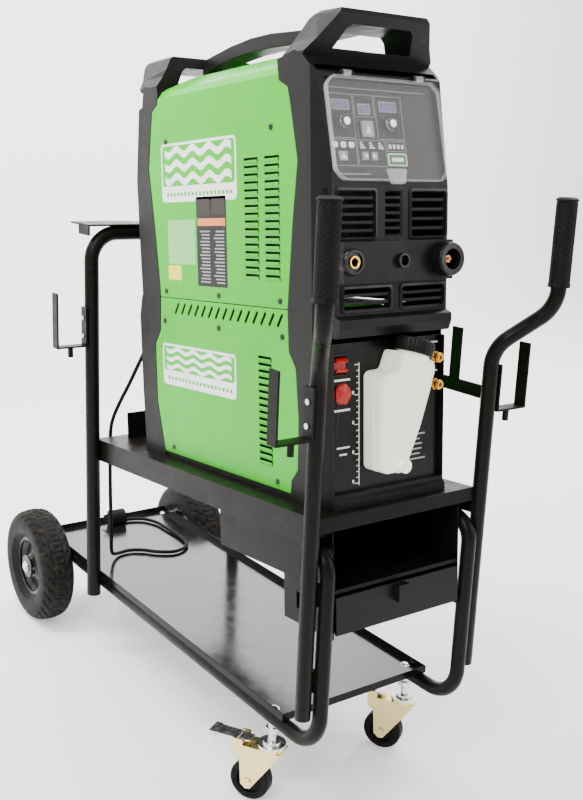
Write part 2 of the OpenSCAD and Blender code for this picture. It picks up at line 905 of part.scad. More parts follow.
cord_pts = [[-95, 312, 765], [-95, 325, 760], [-97, 340, 745], [-103, 362, 708], [-112, 388, 660],
    [-121, 413, 616], [-128, 435, 572], [-130, 445, 530], [-130, 447, 440], [-129, 447, 350], [-127, 448, 282],
    [-122, 458, 240], [-108, 478, 214], [-84, 496, 204], [-50, 500, 203], [-20, 484, 203], [4, 458, 203],
    [40, 438, 203], [76, 446, 203], [100, 476, 203], [106, 530, 203], [105, 600, 203], [102, 645, 203],
    [84, 682, 203], [56, 698, 203], [38, 700, 203]];
cord_r = 4.5;

// point on a smooth curve through the route
function spline(p0, p1, p2, p3, t) = 0.5 * ((2 * p1) + (p2 - p0) * t + (2 * p0 - 5 * p1 + 4 * p2 - p3) * t * t
    + (3 * p1 - p0 - 3 * p2 + p3) * t * t * t);
function route_at(i, t) = let (n = len(cord_pts) - 1) spline(cord_pts[max(i - 1, 0)], cord_pts[i],
    cord_pts[min(i + 1, n)], cord_pts[min(i + 2, n)], t);
cord_line = [for (i = [0 : len(cord_pts) - 2]) for (t = [0, 0.333, 0.667]) route_at(i, t),
    cord_pts[len(cord_pts) - 1]];
function unit(v) = v / norm(v);
function tangent(i) = unit(cord_line[min(i + 1, len(cord_line) - 1)] - cord_line[max(i - 1, 0)]);
function carry(i, v) = unit(v - tangent(i) * (v * tangent(i)));
function frames(i, v) = i >= len(cord_line) ? [] : concat([carry(i, v)], frames(i + 1, carry(i, v)));
normals = frames(0, [1, 0, 0]);
function ring(i) = [for (k = [0 : 7]) cord_line[i] + cord_r * (cos(k * 45) * normals[i]
    + sin(k * 45) * cross(tangent(i), normals[i]))];

module power_cord() {
    n = len(cord_line);
    pts = [for (i = [0 : n - 1]) each ring(i)];
    sides = [for (i = [0 : n - 2]) for (k = [0 : 7])
        [i * 8 + k, (i + 1) * 8 + k, (i + 1) * 8 + (k + 1) % 8, i * 8 + (k + 1) % 8]];
    color(rubber) placed() polyhedron(points = pts, faces = concat([[for (k = [0 : 7]) k]], sides,
        [[for (k = [7 : -1 : 0]) (n - 1) * 8 + k]]));
}

// round three-pin plug lying on the tray
module power_plug() {
    color(rubber) placed() translate([42, 700, 203]) rotate([0, -90, 0]) {
        cylinder(r1 = 5.4, r2 = 5.9, h = 12);
        difference() {
            translate([14, 0, 10]) bar(20, 40);
            translate([-46, -30, 0]) cube([40.05, 60, 60]);
        }
        for (a = [0, 120, 240]) {
            translate([14 + 9 * cos(a), 9 * sin(a), 50]) bar(2.5, 18);
        }
    }
}

lower_tray();
side_loop_left();
side_loop_right();
front_post_left();
front_post_right();
handle_grips();
rear_hoop();
cylinder_rest();
upper_shelf();
storage_box();
drawer();
accessory_hooks();
hook_screws();
tray_bolts();
rear_axle();
axle_brackets();
tyre_left();
rim_left();
tyre_right();
rim_right();
caster_stems();
caster_fork_left();
caster_wheel_left();
caster_brake_left();
caster_fork_right();
caster_wheel_right();
caster_brake_right();
welder_cover();
front_bezel();
rear_bezel();
carry_handle();
control_panel();
current_knob();
pulse_knob();
select_button();
up_button();
left_button();
right_button();
clear_lid();
front_grilles();
connector_block();
output_socket();
remote_socket();
torch_connector();
cover_screws();
cooler_cover();
cooler_frame();
cooler_panel();
coolant_tank();
tank_cap();
rocker_switch();
flow_indicator();
coolant_ports();
inverter_core();
cooling_fan();
coolant_pump();
radiator();
power_cord();
cord_gland();
power_plug();
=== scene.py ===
import math

import bmesh
import bpy
from mathutils import Matrix, Vector


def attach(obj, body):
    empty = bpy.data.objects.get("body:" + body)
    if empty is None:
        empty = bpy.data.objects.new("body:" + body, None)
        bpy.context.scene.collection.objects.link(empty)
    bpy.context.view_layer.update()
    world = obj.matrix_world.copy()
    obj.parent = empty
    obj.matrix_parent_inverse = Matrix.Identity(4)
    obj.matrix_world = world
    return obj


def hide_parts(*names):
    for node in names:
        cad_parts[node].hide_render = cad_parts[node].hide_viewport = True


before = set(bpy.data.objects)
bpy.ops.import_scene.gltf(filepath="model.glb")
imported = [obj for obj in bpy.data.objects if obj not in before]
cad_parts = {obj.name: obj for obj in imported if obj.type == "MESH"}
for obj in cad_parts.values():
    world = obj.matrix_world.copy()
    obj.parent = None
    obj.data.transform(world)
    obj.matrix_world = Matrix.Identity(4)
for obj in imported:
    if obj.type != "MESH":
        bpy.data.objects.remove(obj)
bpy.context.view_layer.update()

# ---- frames, all lengths in millimetres until a piece is made ----
TILT = math.radians(5.1)
PANEL_TILT = math.radians(10.6)
Y_MID = 135.75
MM = Matrix.Scale(0.001, 4)
PLACED = Matrix.Translation((0, -Y_MID / 1000, 0)) @ MM
TILTED = (
    Matrix.Translation((0, -Y_MID / 1000, 0.5))
    @ Matrix.Rotation(-TILT, 4, "X")
    @ Matrix.Translation((0, 0, -0.5))
    @ MM
)
ON_FACE = TILTED @ Matrix.Translation((0, -417, 1120)) @ Matrix.Rotation(-PANEL_TILT, 4, "X")
HALF_W = 138
FACE_N = -417.2

# ---- camera: place in metres, and yaw, pitch and roll in degrees ----
CAMERA_AT = (-1.177, -1.843, 1.212)
CAMERA_TURN = (35.9, 14.3, 2.3)
FOCAL_LENGTH = 46.7
SENSOR_WIDTH = 36
LENS_SHIFT = (0.006, 0.011)


def make_camera():
    yaw, pitch, roll = (math.radians(a) for a in CAMERA_TURN)
    look = Vector((math.sin(yaw) * math.cos(pitch), math.cos(yaw) * math.cos(pitch), -math.sin(pitch)))
    right = Vector((math.cos(yaw), -math.sin(yaw), 0))
    up = right.cross(look)
    across = right * math.cos(roll) + up * math.sin(roll)
    above = up * math.cos(roll) - right * math.sin(roll)
    data = bpy.data.cameras.new("camera")
    data.lens = FOCAL_LENGTH
    data.sensor_width = SENSOR_WIDTH
    data.shift_x, data.shift_y = LENS_SHIFT
    camera = bpy.data.objects.new("camera", data)
    turn = Matrix((across, above, -look)).transposed().to_4x4()
    camera.matrix_world = Matrix.Translation(CAMERA_AT) @ turn
    bpy.context.scene.collection.objects.link(camera)
    bpy.context.scene.camera = camera


make_camera()


# ---- materials ----
PAINT_IOR = 1.45


def new_node(tree, kind, **values):
    node = tree.nodes.new(kind)
    for key, value in values.items():
        if key in node.inputs.keys():
            node.inputs[key].default_value = value
        else:
            setattr(node, key, value)
    return node


def noise_value(tree, place, scale, detail):
    noise = new_node(tree, "ShaderNodeTexNoise", Scale=scale, Detail=detail)
    tree.links.new(place.outputs["Object"], noise.inputs["Vector"])
    return noise.outputs["Fac"]


def ramp(tree, value, low, high, a, b):
    node = new_node(tree, "ShaderNodeValToRGB")
    node.color_ramp.elements[0].position = low
    node.color_ramp.elements[1].position = high
    node.color_ramp.elements[0].color = a
    node.color_ramp.elements[1].color = b
    tree.links.new(value, node.inputs["Fac"])
    return node.outputs["Color"]


def mixed(tree, factor, a, b):
    node = new_node(tree, "ShaderNodeMix", data_type="RGBA")
    tree.links.new(factor, node.inputs["Factor"])
    for value, socket in ((a, node.inputs[6]), (b, node.inputs[7])):
        if hasattr(value, "links"):
            tree.links.new(value, socket)
        else:
            socket.default_value = value
    return node.outputs[2]


def material(name, colour, rough=0.5, metallic=0.0, vary=0.12, cloud=5.0, grain=600.0, bump=0.0003,
             coat=0.0, wear=None, wear_from=0.66, wear_scale=30.0, subsurface=0.0, rough_swing=0.08,
             shine=0.5, alpha=1.0):
    """Procedural paint, plastic, rubber or metal in object space.

    The colour is cloudy, with worn spots if asked for, the gloss is uneven and the surface has a fine relief.
    """
    made = bpy.data.materials.new(name)
    made.use_nodes = True
    tree = made.node_tree
    shader = tree.nodes["Principled BSDF"]
    place = new_node(tree, "ShaderNodeTexCoord")
    dark = (*(c * (1 - vary) for c in colour), 1)
    light = (*(min(1, c * (1 + vary)) for c in colour), 1)
    base = ramp(tree, noise_value(tree, place, cloud, 5), 0.3, 0.7, dark, light)
    if wear:
        spots = ramp(tree, noise_value(tree, place, wear_scale, 8), wear_from, wear_from + 0.08,
                     (0, 0, 0, 1), (1, 1, 1, 1))
        base = mixed(tree, spots, base, (*wear, 1))
    tree.links.new(base, shader.inputs["Base Color"])
    low, high = (max(0.02, rough - rough_swing), min(1, rough + rough_swing))
    gloss = ramp(tree, noise_value(tree, place, cloud * 6, 6), 0.3, 0.7,
                 (low, low, low, 1), (high, high, high, 1))
    tree.links.new(gloss, shader.inputs["Roughness"])
    relief = new_node(tree, "ShaderNodeBump", Strength=0.5, Distance=bump)
    tree.links.new(noise_value(tree, place, grain, 3), relief.inputs["Height"])
    tree.links.new(relief.outputs["Normal"], shader.inputs["Normal"])
    shader.inputs["Metallic"].default_value = metallic
    shader.inputs["Coat Weight"].default_value = coat
    shader.inputs["Coat Roughness"].default_value = 0.12
    shader.inputs["Specular IOR Level"].default_value = shine
    shader.inputs["Alpha"].default_value = alpha
    shader.inputs["IOR"].default_value = PAINT_IOR
    if subsurface:
        shader.inputs["Subsurface Weight"].default_value = subsurface
        shader.inputs["Subsurface Radius"].default_value = (0.012, 0.01, 0.007)
    return made


def place_and_facing(tree):
    """The object-space place and normal of a point, each split into x, y and z."""
    coordinates = new_node(tree, "ShaderNodeTexCoord")
    split = []
    for output in ("Object", "Normal"):
        node = new_node(tree, "ShaderNodeSeparateXYZ")
        tree.links.new(coordinates.outputs[output], node.inputs[0])
        split.append(node.outputs)
    return split


def maths(tree, operation, *values):
    """One math node. A value is either a number or the socket that it comes from."""
    node = new_node(tree, "ShaderNodeMath", operation=operation)
    for value, socket in zip(values, node.inputs):
        if hasattr(value, "links"):
            tree.links.new(value, socket)
        else:
            socket.default_value = value
    return node.outputs[0]


def paint_shade_inside_and_under(painted, colour=(0.004, 0.004, 0.004, 1)):
    """Painted shade: makes the inner faces of a hollow cover, whose normals point at the middle plane, and
    every face that points down near-black.
    """
    tree = painted.node_tree
    base = tree.nodes["Principled BSDF"].inputs["Base Color"]
    outside = base.links[0].from_socket
    place, facing = place_and_facing(tree)
    outward = maths(tree, "MULTIPLY", place["X"], facing["X"])
    inner = maths(tree, "LESS_THAN", outward, -0.01)
    under = maths(tree, "LESS_THAN", facing["Z"], -0.8)
    shaded_faces = maths(tree, "MAXIMUM", inner, under)
    tree.links.new(mixed(tree, shaded_faces, outside, colour), base)


def shine_on_top(painted, ior_top=2.0, ior_edge=1.2, above=0.9, below=0.2):
    """Keeps the mirror-like gloss to the flat top of the sheet, and leaves its raised edges plain."""
    tree = painted.node_tree
    place, facing = place_and_facing(tree)
    level = maths(tree, "GREATER_THAN", facing["Z"], above)
    low = maths(tree, "LESS_THAN", place["Z"], below)
    top = maths(tree, "MULTIPLY", level, low)
    ior = maths(tree, "MULTIPLY_ADD", top, ior_top - ior_edge, ior_edge)
    tree.links.new(ior, tree.nodes["Principled BSDF"].inputs["IOR"])


def glow(painted, colour, strength):
    """Adds a weak light of its own: a painted glow that makes thin plastic look lit through, and an even
    brightness for the studio paper.
    """
    shader = painted.node_tree.nodes["Principled BSDF"]
    shader.inputs["Emission Color"].default_value = colour
    shader.inputs["Emission Strength"].default_value = strength


POWDER = material("powder_coat", (0.0055, 0.0045, 0.0035), 0.32, bump=0.0004, grain=900,
                  wear=(0.01, 0.0085, 0.007), wear_from=0.7, wear_scale=60, shine=0.11)
TRAY = material("tray_gloss", (0.005, 0.005, 0.005), 0.17, bump=0.0001, grain=60, rough_swing=0.05,
                wear=(0.012, 0.012, 0.012), wear_from=0.74, wear_scale=22, shine=0.5)
shine_on_top(TRAY)
PLASTIC = material("moulded_plastic", (0.0062, 0.0055, 0.005), 0.36, bump=0.0004, grain=1400,
                   wear=(0.0105, 0.0095, 0.009), wear_from=0.68, wear_scale=40, shine=0.17)
GLOSS_BLACK = material("gloss_black", (0.005, 0.0047, 0.0047), 0.22, bump=0.0002, grain=900, shine=0.25)
MEMBRANE = material("membrane", (0.04, 0.033, 0.028), 0.42, bump=0.0002, grain=1600, vary=0.08, shine=0.15)
GREEN = material("lime_green", (0.03, 0.44, 0.004), 0.3, bump=0.0003, grain=700, vary=0.06, coat=0.08,
                 wear=(0.05, 0.48, 0.012), wear_from=0.73, wear_scale=25, shine=0.2)
# painted shade: the inner faces of the green covers and every downward face, such as the undersides of the
# louvre hoods, are made near-black
paint_shade_inside_and_under(GREEN)
GREEN_DARK = material("dark_green", (0.01, 0.16, 0.03), 0.4)
RUBBER = material("rubber", (0.005, 0.0045, 0.004), 0.5, bump=0.0006, grain=800, shine=0.12)
TYRE = material("tyre_rubber", (0.008, 0.0068, 0.0056), 0.62, bump=0.0008, grain=500,
                wear=(0.019, 0.0155, 0.0115), wear_from=0.6, wear_scale=35, shine=0.16)
RIM = material("rim_paint", (0.008, 0.0075, 0.0075), 0.3, bump=0.0004, grain=500, wear=(0.02, 0.018, 0.017),
               shine=0.35)
ZINC = material("zinc", (0.74, 0.74, 0.72), 0.24, metallic=1.0, vary=0.06, cloud=12, bump=0.0001, grain=300,
                wear=(0.62, 0.58, 0.48), wear_from=0.7, wear_scale=45)
YELLOW_ZINC = material("yellow_zinc", (0.9, 0.71, 0.33), 0.26, metallic=1.0, vary=0.07, cloud=10,
                       bump=0.0001, grain=300, wear=(0.8, 0.74, 0.56), wear_from=0.64, wear_scale=25)
STEEL = material("steel", (0.45, 0.46, 0.48), 0.3, metallic=1.0, vary=0.1, cloud=40, grain=900)
BRASS = material("brass", (0.8, 0.48, 0.1), 0.25, metallic=1.0, vary=0.12, cloud=60, grain=900)
COPPER = material("copper", (0.75, 0.3, 0.12), 0.3, metallic=1.0, cloud=60)
RED = material("signal_red", (0.36, 0.008, 0.006), 0.33, bump=0.0002)
WHITE = material("print_white", (0.86, 0.87, 0.84), 0.4, vary=0.04, bump=0.0001)
GREY = material("print_grey", (0.3, 0.28, 0.26), 0.45, vary=0.1, bump=0.0001)
PALE_GREEN = material("label_pale_green", (0.19, 0.62, 0.15), 0.35, vary=0.08, bump=0.0001)
ORANGE = material("label_orange", (0.75, 0.2, 0.03), 0.4, vary=0.06, bump=0.0001)
YELLOW = material("label_yellow", (0.86, 0.76, 0.03), 0.4, vary=0.06, bump=0.0001)
DISPLAY = material("display", (0.05, 0.042, 0.16), 0.18, vary=0.2, cloud=90, bump=0.0001)
TANK = material("tank_plastic", (0.95, 0.92, 0.8), 0.34, vary=0.04, cloud=12, bump=0.0004, grain=250,
                subsurface=0.25)
# painted glow: the tank gives off a weak light of its own, so that it looks lit through
glow(TANK, (1, 0.97, 0.86, 1), 0.3)
CLEAR = material("clear_plastic", (0.72, 0.74, 0.76), 0.07, vary=0.02, bump=0.00005, grain=200,
                 rough_swing=0.03, alpha=0.05, shine=0.3)
CLEAR_EDGE = material("clear_plastic_edge", (0.8, 0.82, 0.84), 0.12, vary=0.02, bump=0.0001, grain=200,
                      alpha=0.2)
BUTTON = material("button_grey", (0.3, 0.29, 0.27), 0.4, bump=0.0002)
SILVER = material("knob_silver", (0.6, 0.6, 0.58), 0.25, metallic=1.0, vary=0.08, cloud=60, grain=900)


# ---- mesh helpers ----
def prism(bm, outline, lo, hi, axis="y", mat=0):
    """Extrudes a flat outline along one axis. Its points hold the other two coordinates, in x, y, z order."""
    orders = {
        "x": lambda a, b, t: (t, a, b),
        "y": lambda a, b, t: (a, t, b),
        "z": lambda a, b, t: (a, b, t),
    }
    order = orders[axis]
    rings = [[bm.verts.new(order(a, b, t)) for a, b in outline] for t in (lo, hi)]
    faces = [bm.faces.new(rings[0][::-1]), bm.faces.new(rings[1])]
    n = len(outline)
    for i in range(n):
        j = (i + 1) % n
        faces.append(bm.faces.new((rings[0][i], rings[0][j], rings[1][j], rings[1][i])))
    for f in faces:
        f.material_index = mat


def rounded(outline, radius, steps=5):
    """The outline with each corner replaced by a short curve."""
    made = []
    n = len(outline)
    for i, corner in enumerate(outline):
        p = Vector(corner)
        a, b = Vector(outline[i - 1]) - p, Vector(outline[(i + 1) % n]) - p
        r = min(radius, a.length * 0.45, b.length * 0.45)
        a, b = p + a.normalized() * r, p + b.normalized() * r
        for k in range(steps + 1):
            t = k / steps
            made.append(tuple(a * (1 - t) ** 2 + p * 2 * t * (1 - t) + b * t * t))
    return made


def rect(a0, a1, b0, b1, radius=0.0):
    corners = [(a0, b0), (a1, b0), (a1, b1), (a0, b1)]
    return rounded(corners, radius, 4) if radius else corners


def lathe(bm, profile, steps=48, mat=0, ripple=None, closed=False):
    """Turns (radius, height) points round z. ripple(angle, index) adds to the radius."""
    rings = []
    for k in range(steps):
        angle = 2 * math.pi * k / steps
        ring = []
        for i, (r, z) in enumerate(profile):
            r += ripple(angle, i) if ripple and r > 0 else 0
            ring.append(bm.verts.new((r * math.cos(angle), r * math.sin(angle), z)))
        rings.append(ring)
    count = len(profile)
    faces = []
    for k in range(steps):
        a, b = rings[k], rings[(k + 1) % steps]
        for i in range(count if closed else count - 1):
            j = (i + 1) % count
            faces.append(bm.faces.new((a[i], b[i], b[j], a[j])))
    for f in faces:
        f.material_index = mat
        f.smooth = True


def piece(name, bm, where, materials, body, replaces=(), bevel=0.0, smooth=True):
    """Finishes a mesh in the row frame and hands it to its body."""
    bmesh.ops.remove_doubles(bm, verts=bm.verts, dist=0.0001)
    bmesh.ops.recalc_face_normals(bm, faces=bm.faces)
    bm.transform(where)
    mesh = bpy.data.meshes.new(name)
    bm.to_mesh(mesh)
    bm.free()
    for m in materials if isinstance(materials, (list, tuple)) else [materials]:
        mesh.materials.append(m)
    made = bpy.data.objects.new(name, mesh)
    bpy.context.scene.collection.objects.link(made)
    if bevel:
        edge = made.modifiers.new("edge", "BEVEL")
        edge.width = bevel / 1000
        edge.segments = 3
        edge.limit_method = "ANGLE"
        edge.angle_limit = math.radians(35)
    if smooth:
        for f in mesh.polygons:
            f.use_smooth = True
        mesh.set_sharp_from_angle(angle=math.radians(38))
    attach(made, body)
    if replaces:
        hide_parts(*replaces)
    return made


def turned(where, point, axis):
    """A frame whose z runs along axis from point, both in the frame of where."""
    return where @ Matrix.Translation(point) @ Vector(axis).to_track_quat("Z", "Y").to_matrix().to_4x4()


# ---- supply cord, on the route of its CAD solid ----
CORD_POINTS = [(-95, 312, 765), (-95, 325, 760), (-97, 340, 745), (-103, 362, 708), (-112, 388, 660),
               (-121, 413, 616), (-128, 435, 572), (-130, 445, 530), (-130, 447, 440), (-129, 447, 350),
               (-127, 448, 282), (-122, 458, 240), (-108, 478, 214), (-84, 496, 204), (-50, 500, 203),
               (-20, 484, 203), (4, 458, 203), (40, 438, 203), (76, 446, 203), (100, 476, 203),
               (106, 530, 203), (105, 600, 203), (102, 645, 203), (84, 682, 203), (56, 698, 203),
               (38, 700, 203)]
CORD_RADIUS = 4.5


def spline(points, steps):
    points = [Vector(p) for p in points]
    last = len(points) - 1
    made = []
    for i in range(last):
        p0, p1, p2, p3 = (points[min(max(i + k, 0), last)] for k in (-1, 0, 1, 2))
        for k in range(steps):
            t = k / steps
            made.append(0.5 * (2 * p1 + (p2 - p0) * t + (2 * p0 - 5 * p1 + 4 * p2 - p3) * t * t
                               + (3 * p1 - p0 - 3 * p2 + p3) * t ** 3))
    return made + [points[-1]]


def make_cord():
    line = [PLACED @ p for p in spline(CORD_POINTS, 6)]
    curve = bpy.data.curves.new("supply_cord", "CURVE")
    curve.dimensions = "3D"
    curve.bevel_depth = CORD_RADIUS / 1000
    curve.bevel_resolution = 4
    curve.use_fill_caps = True
    route = curve.splines.new("POLY")
    route.points.add(len(line) - 1)
    for point, place in zip(route.points, line):
        point.co = (*place, 1)
    curve.materials.append(RUBBER)
    cord = bpy.data.objects.new("supply_cord", curve)
    bpy.context.scene.collection.objects.link(cord)
    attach(cord, "cart")
    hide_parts("power_cord")


make_cord()


# ---- carried CAD nodes: materials and softened edges ----
# material, width of the softened edge, nodes
NODE_LOOKS = [
    (POWDER, 0.6, "side_loop_left side_loop_right front_post_left front_post_right rear_hoop cylinder_rest"
                  " upper_shelf storage_box accessory_hooks axle_brackets"),
    (TRAY, 0.6, "lower_tray"),
    (GREEN, 1.0, "welder_cover cooler_cover"),
    (ZINC, 0.4, "hook_screws tray_bolts rear_axle caster_stems caster_brake_left caster_brake_right"),
    (YELLOW_ZINC, 0.4, "caster_fork_left caster_fork_right"),
    (STEEL, 0.6, "radiator coolant_pump"),
    (PLASTIC, 0.6, "inverter_core"),
    (RUBBER, 0.8, "cord_gland power_plug caster_wheel_left caster_wheel_right"),
    (RIM, 0.8, "rim_left rim_right"),
    (PLASTIC, 1.6, "front_bezel rear_bezel cooler_frame drawer front_grilles connector_block cooling_fan"),
    (PLASTIC, 6.0, "carry_handle"),
    (GLOSS_BLACK, 0.5, "remote_socket torch_connector cover_screws current_knob pulse_knob cooler_panel"),
    (MEMBRANE, 0.5, "control_panel"),
    (BUTTON, 0.5, "select_button up_button left_button right_button"),
    (BRASS, 0.4, "coolant_ports"),
    (RED, 0.8, "rocker_switch flow_indicator"),
]


def dress(node, look, width):
    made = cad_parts[node]
    made.data.materials.clear()
    made.data.materials.append(look)
    weld = made.modifiers.new("weld", "WELD")
    weld.merge_threshold = 0.00002
    edge = made.modifiers.new("edge", "BEVEL")
    edge.width = width / 1000
    edge.segments = 2
    edge.limit_method = "ANGLE"
    edge.angle_limit = math.radians(50)
    edge.harden_normals = False


for look, width, names in NODE_LOOKS:
    for node_name in names.split():
        dress(node_name, look, width)


# ---- rear wheels ----
WHEEL_X = 222
AXLE_Y = 668
TYRE_R = 142
TYRE_HALF = 42
BEAD_R = 75.5
DISH_OUT = 22
BOLT_CIRCLE = 22


def make_tyre(side):
    """Chevron tread blocks over a ribbed, worn sidewall."""
    profile = []
    for k in range(25):
        t = math.pi * k / 24 - math.pi / 2
        x = TYRE_HALF * math.copysign(abs(math.sin(t)) ** 0.75, math.sin(t))
        r = TYRE_R - 40 + 40 * abs(math.cos(t)) ** 0.62
        profile.append((r, x))
    profile = [(BEAD_R, -28), (BEAD_R + 6, -33), (88, -40)] + profile
    profile += [(88, 40), (BEAD_R + 6, 33), (BEAD_R, 28)]

    def tread(angle, i):
        r, x = profile[i]
        if r > 128:
            phase = (angle * 30 / math.pi + abs(x) / 9) % 2
            return 0 if 0.25 < phase < 1.75 and abs(abs(x) - 14) > 1.6 else -4
        if 104 < r < 122:
            return 0.8 * math.sin(angle * 60)
        return 0

    bm = bmesh.new()
    lathe(bm, profile, 240, ripple=tread, closed=True)
    x = WHEEL_X * (-1 if side == "left" else 1)
    piece(f"tyre_{side}_tread", bm, turned(PLACED, (x, AXLE_Y, TYRE_R), (1, 0, 0)),
          TYRE, f"wheel_{side}", [f"tyre_{side}"])


def make_hub(side):
    """Pressed dish with a raised bead and a circle of five hexagon bolts, on the outer face of the rim."""
    sign = -1 if side == "left" else 1
    bm = bmesh.new()
    lathe(bm, [(8.2, 0), (30, 0), (34, -3), (46, -12), (62, -14), (68, -2), (68, -0.5), (60, -11),
               (44, -10), (32, -1.5), (28, 2), (8.2, 2)], 64, closed=True)
    for k in range(5):
        angle = 2 * math.pi * k / 5
        outline = [(BOLT_CIRCLE * math.cos(angle) + 4.5 * math.cos(a * math.pi / 3),
                    BOLT_CIRCLE * math.sin(angle) + 4.5 * math.sin(a * math.pi / 3)) for a in range(6)]
        prism(bm, outline, 2, 6, "z", 1)
    middle = (sign * (WHEEL_X + DISH_OUT), AXLE_Y, TYRE_R)
    piece(f"hub_dish_{side}", bm, turned(PLACED, middle, (sign, 0, 0)),
          [RIM, ZINC], f"wheel_{side}", bevel=0.6)


for wheel_side in ("left", "right"):
    make_tyre(wheel_side)
    make_hub(wheel_side)


# ---- rubber grips ----
SPLAY = math.radians(-144.4)
BEND = math.radians(51.5)
BEND_R = 140
BEND_FROM = 838
SLANT = 65.3
POST_X = 195
POST_Y = -434
GRIP_TOP = 1143
HANDLE_REACH = BEND_R * (1 - math.cos(BEND)) + SLANT * math.sin(BEND)
HANDLE_FOOT = BEND_FROM + BEND_R * math.sin(BEND) + SLANT * math.cos(BEND)
KNURL_R = 17
KNURL_COUNT = 6
KNURL_LEAN = 0.36


def make_grips():
    """Two sleeves with a knurled diamond relief, a collar and a closed end."""
    bm = bmesh.new()
    long = GRIP_TOP - HANDLE_FOOT
    for sign in (-1, 1):
        turn = Matrix.Rotation(sign * SPLAY, 4, "Z")
        foot = turn @ Vector((0, HANDLE_REACH, 0))
        x, y = sign * POST_X + foot.x, POST_Y + foot.y
        rows = [2 + (long - 9) * k / 70 for k in range(71)]
        profile = [(14.1, 2), (19.5, 2), (19.5, 7)] + [(KNURL_R, 7 + z) for z in rows if z < long - 16]
        profile += [(17.6, long - 7), (19.6, long - 6), (19.6, long - 3), (15, long)]
        profile += [(5, long + 0.5), (0.01, long + 0.5)]

        def knurl(angle, i, profile=profile):
            r, z = profile[i]
            if r != KNURL_R:
                return 0
            a = math.sin(angle * KNURL_COUNT + z * KNURL_LEAN)
            b = math.sin(angle * KNURL_COUNT - z * KNURL_LEAN)
            return 1.9 * max(0, min(1, 1.5 * max(abs(a), abs(b)) - 0.7))

        start = len(bm.verts)
        lathe(bm, profile, 96, ripple=knurl)
        bm.verts.ensure_lookup_table()
        bmesh.ops.translate(bm, verts=bm.verts[start:], vec=(x, y, HANDLE_FOOT))
    piece("knurled_grips", bm, PLACED, RUBBER, "cart", ["handle_grips"])


make_grips()


# ---- side decoration of the covers ----
# badges: front, rear, bottom, top
BADGES = {"upper": (-146, 133, 1101, 1215), "lower": (-131, 152, 729, 815)}
BADGE_FOOT = 31
BADGE_EDGE = 5
RIBBONS = 3
RIBBON_STEPS = 40
DASHES = 18


def side_sign(sign, name, s0, s1, h0, h1):
    """Plain badge: framed plate with three wavy ribbons over a row of dashes."""
    bm = bmesh.new()
    at = sign * HALF_W
    layers = [at, at + sign * 0.25, at + sign * 0.4, at + sign * 0.55]
    low, high = h0 + BADGE_FOOT, h1 - BADGE_EDGE
    prism(bm, rect(s0, s1, h0, h1, 11), *sorted(layers[:2]), "x", 0)
    prism(bm, rect(s0 + BADGE_EDGE, s1 - BADGE_EDGE, low, high, 7), *sorted(layers[1:3]), "x", 1)
    swing, half = (high - low) * 0.075, (high - low) * 0.085
    for row in range(RIBBONS):
        mid = low + (high - low) * (row + 0.5) / RIBBONS
        wave = [(s0 + 16 + (s1 - s0 - 32) * k / RIBBON_STEPS, mid + swing * math.sin(k * math.pi / 5))
                for k in range(RIBBON_STEPS + 1)]
        outline = [(a, b - half) for a, b in wave] + [(a, b + half) for a, b in reversed(wave)]
        prism(bm, outline, *sorted(layers[2:4]), "x", 0)
    for k in range(DASHES):
        a = s0 + 14 + k * (s1 - s0 - 28) / DASHES
        prism(bm, rect(a, a + 8, h0 + 11, h0 + 18), *sorted(layers[1:3]), "x", 1)
    piece(name, bm, TILTED, [WHITE, GREEN], "cart")


for x_sign, side_name in ((-1, "left"), (1, "right")):
    for level_name, edges in BADGES.items():
        side_sign(x_sign, f"{level_name}_badge_{side_name}", *edges)

# labels of the left cover: front, rear, bottom, top
RATING_PLATE = (7, 114, 979, 1066)
SMALL_LABEL = (64, 116, 947, 976)
DATA_PLATE = (-108, 0, 939, 1109)
LABEL_FACE = -HALF_W - 0.25
PRINT_FACE = -HALF_W - 0.4


def make_side_labels():
    """Rating plate, small label and data plate with neutral lines, on the left cover only."""
    bm = bmesh.new()

    def label(edges, mat, radius):
        prism(bm, rect(*edges, radius), LABEL_FACE, -HALF_W, "x", mat)

    def bar(a0, a1, b0, b1, mat=1):
        prism(bm, rect(a0, a1, b0, b1), PRINT_FACE, LABEL_FACE, "x", mat)

    s0, s1, h0, h1 = RATING_PLATE
    label(RATING_PLATE, 0, 3)
    for k in range(11):
        h = h0 + 5 + k * 7.4
        bar(s0 + 4, s1 - 4, h, h + 0.8)
    for s in (s0 + 33, s0 + 69):
        bar(s, s + 0.8, h0 + 5, h1 - 8)
    label(SMALL_LABEL, 2, 2)
    s0, s1, h0, h1 = DATA_PLATE
    label(DATA_PLATE, 3, 3)
    bar(s0 + 4, s1 - 4, h1 - 55, h1 - 41, 4)
    for s in (s0 + 6, s0 + 58):
        bar(s, s + 46, h1 - 35, h1 - 5, 5)
        for k in range(16):
            end = s + 40 - 9 * abs(math.sin(k * 2.3 + s))
            h = h0 + 7 + k * 6.4
            bar(s + 2, end, h, h + 2.6)
    piece("data_plates", bm, TILTED, [PALE_GREEN, GREY, YELLOW, GLOSS_BLACK, ORANGE, MEMBRANE], "cart")


make_side_labels()

# columns of slots: front, rear, height of the top edge of the highest slot, pitch
SLOT_COLUMNS = ((-215, -170, 1171.5, 13.6), (-280, -235, 1171.5, 13.6), (-248, -206, 821.5, 12.6))
SLOT_ROWS = 16


